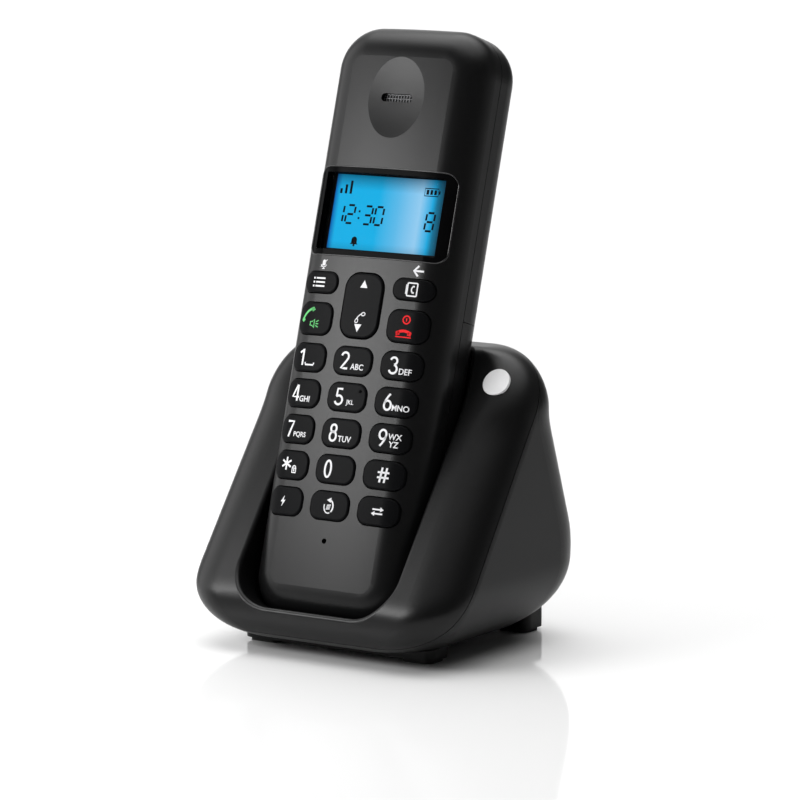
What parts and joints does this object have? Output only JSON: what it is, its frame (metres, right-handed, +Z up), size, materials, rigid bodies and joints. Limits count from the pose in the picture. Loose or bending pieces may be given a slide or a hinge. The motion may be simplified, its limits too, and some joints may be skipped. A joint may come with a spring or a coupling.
{
  "type": "cordless telephone",
  "caption": "Cordless telephone handset with display and keypad, standing in a wedge-shaped charging base that it lifts out of.",
  "frame": {"origin": "centre of the box around the docked telephone, on the surface that its feet stand on", "axes": "+Z up, +X to the right of someone facing the keypad, +Y from the keypad to the back"},
  "size_m": [0.0844, 0.0747, 0.1596],
  "materials": {
    "shell_plastic": "satin",
    "key_plastic": "satin",
    "plate_plastic": "matte",
    "lens": "gloss",
    "display": "gloss",
    "diffuser": "satin",
    "board": "satin",
    "key_rubber": "matte",
    "foot_rubber": "matte",
    "speaker": "matte",
    "mesh": "matte",
    "cell": "satin",
    "contact_metal": "polished",
    "screw": "brushed",
    "socket": "matte",
    "badge": "satin"
  },
  "bodies": {
    "base": {"base_front_shell": "shell_plastic", "base_rear_shell": "shell_plastic", "base_bottom_plate": "plate_plastic", "base_circuit_board": "board", "contact_block": "socket", "line_socket": "socket", "power_socket": "socket", "page_switch": "socket", "badge_disc": "badge", "rubber_feet": "foot_rubber", "base_screws": "screw"},
    "handset": {"handset_front_shell": "shell_plastic", "handset_rear_shell": "shell_plastic", "battery_door": "shell_plastic", "display_window": "lens", "display_glass": "display", "display_backlight": "diffuser", "earpiece_speaker": "speaker", "earpiece_mesh": "mesh", "microphone": "speaker", "handset_circuit_board": "board", "keymat": "key_rubber", "ringer_speaker": "speaker", "battery_cells": "cell", "battery_clips": "contact_metal", "handset_charge_pads": "contact_metal", "handset_screws": "screw"},
    "key_1": {"key_1": "key_plastic"},
    "key_2": {"key_2": "key_plastic"},
    "key_3": {"key_3": "key_plastic"},
    "key_4": {"key_4": "key_plastic"},
    "key_5": {"key_5": "key_plastic"},
    "key_6": {"key_6": "key_plastic"},
    "key_7": {"key_7": "key_plastic"},
    "key_8": {"key_8": "key_plastic"},
    "key_9": {"key_9": "key_plastic"},
    "key_star": {"key_star": "key_plastic"},
    "key_0": {"key_0": "key_plastic"},
    "key_hash": {"key_hash": "key_plastic"},
    "key_recall": {"key_recall": "key_plastic"},
    "key_redial": {"key_redial": "key_plastic"},
    "key_intercom": {"key_intercom": "key_plastic"},
    "key_talk": {"key_talk": "key_plastic"},
    "key_end": {"key_end": "key_plastic"},
    "key_menu": {"key_menu": "key_plastic"},
    "key_phonebook": {"key_phonebook": "key_plastic"},
    "nav_rocker": {"nav_rocker": "key_plastic"},
    "charge_pin_left": {"charge_pin_left": "contact_metal"},
    "charge_pin_right": {"charge_pin_right": "contact_metal"},
    "page_key": {"page_key": "key_plastic"}
  },
  "joints": [
    {"name": "handset_lift", "type": "slide", "parent": "base", "child": "handset", "axis": [0, 0.2857, 0.9583], "range_m": [0, 0.12]},
    {"name": "key_1_press", "type": "slide", "parent": "handset", "child": "key_1", "axis": [0, 0.9583, -0.2857], "range_m": [0, 0.0007], "stiffness_N_per_m": 700},
    {"name": "key_2_press", "type": "slide", "parent": "handset", "child": "key_2", "axis": [0, 0.9583, -0.2857], "range_m": [0, 0.0007], "stiffness_N_per_m": 700},
    {"name": "key_3_press", "type": "slide", "parent": "handset", "child": "key_3", "axis": [0, 0.9583, -0.2857], "range_m": [0, 0.0007], "stiffness_N_per_m": 700},
    {"name": "key_4_press", "type": "slide", "parent": "handset", "child": "key_4", "axis": [0, 0.9583, -0.2857], "range_m": [0, 0.0007], "stiffness_N_per_m": 700},
    {"name": "key_5_press", "type": "slide", "parent": "handset", "child": "key_5", "axis": [0, 0.9583, -0.2857], "range_m": [0, 0.0007], "stiffness_N_per_m": 700},
    {"name": "key_6_press", "type": "slide", "parent": "handset", "child": "key_6", "axis": [0, 0.9583, -0.2857], "range_m": [0, 0.0007], "stiffness_N_per_m": 700},
    {"name": "key_7_press", "type": "slide", "parent": "handset", "child": "key_7", "axis": [0, 0.9583, -0.2857], "range_m": [0, 0.0007], "stiffness_N_per_m": 700},
    {"name": "key_8_press", "type": "slide", "parent": "handset", "child": "key_8", "axis": [0, 0.9583, -0.2857], "range_m": [0, 0.0007], "stiffness_N_per_m": 700},
    {"name": "key_9_press", "type": "slide", "parent": "handset", "child": "key_9", "axis": [0, 0.9583, -0.2857], "range_m": [0, 0.0007], "stiffness_N_per_m": 700},
    {"name": "key_star_press", "type": "slide", "parent": "handset", "child": "key_star", "axis": [0, 0.9583, -0.2857], "range_m": [0, 0.0007], "stiffness_N_per_m": 700},
    {"name": "key_0_press", "type": "slide", "parent": "handset", "child": "key_0", "axis": [0, 0.9583, -0.2857], "range_m": [0, 0.0007], "stiffness_N_per_m": 700},
    {"name": "key_hash_press", "type": "slide", "parent": "handset", "child": "key_hash", "axis": [0, 0.9583, -0.2857], "range_m": [0, 0.0007], "stiffness_N_per_m": 700},
    {"name": "key_recall_press", "type": "slide", "parent": "handset", "child": "key_recall", "axis": [0, 0.9583, -0.2857], "range_m": [0, 0.0007], "stiffness_N_per_m": 700},
    {"name": "key_redial_press", "type": "slide", "parent": "handset", "child": "key_redial", "axis": [0, 0.9583, -0.2857], "range_m": [0, 0.0007], "stiffness_N_per_m": 700},
    {"name": "key_intercom_press", "type": "slide", "parent": "handset", "child": "key_intercom", "axis": [0, 0.9583, -0.2857], "range_m": [0, 0.0007], "stiffness_N_per_m": 700},
    {"name": "key_talk_press", "type": "slide", "parent": "handset", "child": "key_talk", "axis": [0, 0.9583, -0.2857], "range_m": [0, 0.0007], "stiffness_N_per_m": 700},
    {"name": "key_end_press", "type": "slide", "parent": "handset", "child": "key_end", "axis": [0, 0.9583, -0.2857], "range_m": [0, 0.0007], "stiffness_N_per_m": 700},
    {"name": "key_menu_press", "type": "slide", "parent": "handset", "child": "key_menu", "axis": [0, 0.9583, -0.2857], "range_m": [0, 0.0007], "stiffness_N_per_m": 700},
    {"name": "key_phonebook_press", "type": "slide", "parent": "handset", "child": "key_phonebook", "axis": [0, 0.9583, -0.2857], "range_m": [0, 0.0007], "stiffness_N_per_m": 700},
    {"name": "nav_rocker_tilt", "type": "hinge", "parent": "handset", "child": "nav_rocker", "pos_m": [0, -0.00894, 0.08896], "axis": [1, 0, 0], "range_deg": [-3, 3], "stiffness_Nm_per_rad": 0.08},
    {"name": "charge_pin_left_press", "type": "slide", "parent": "base", "child": "charge_pin_left", "axis": [0, 0.9583, -0.2857], "range_m": [0, 0.0008], "stiffness_N_per_m": 900},
    {"name": "charge_pin_right_press", "type": "slide", "parent": "base", "child": "charge_pin_right", "axis": [0, 0.9583, -0.2857], "range_m": [0, 0.0008], "stiffness_N_per_m": 900},
    {"name": "page_key_press", "type": "slide", "parent": "base", "child": "page_key", "axis": [0, -1, 0], "range_m": [0, 0.0008], "stiffness_N_per_m": 700}
  ]
}
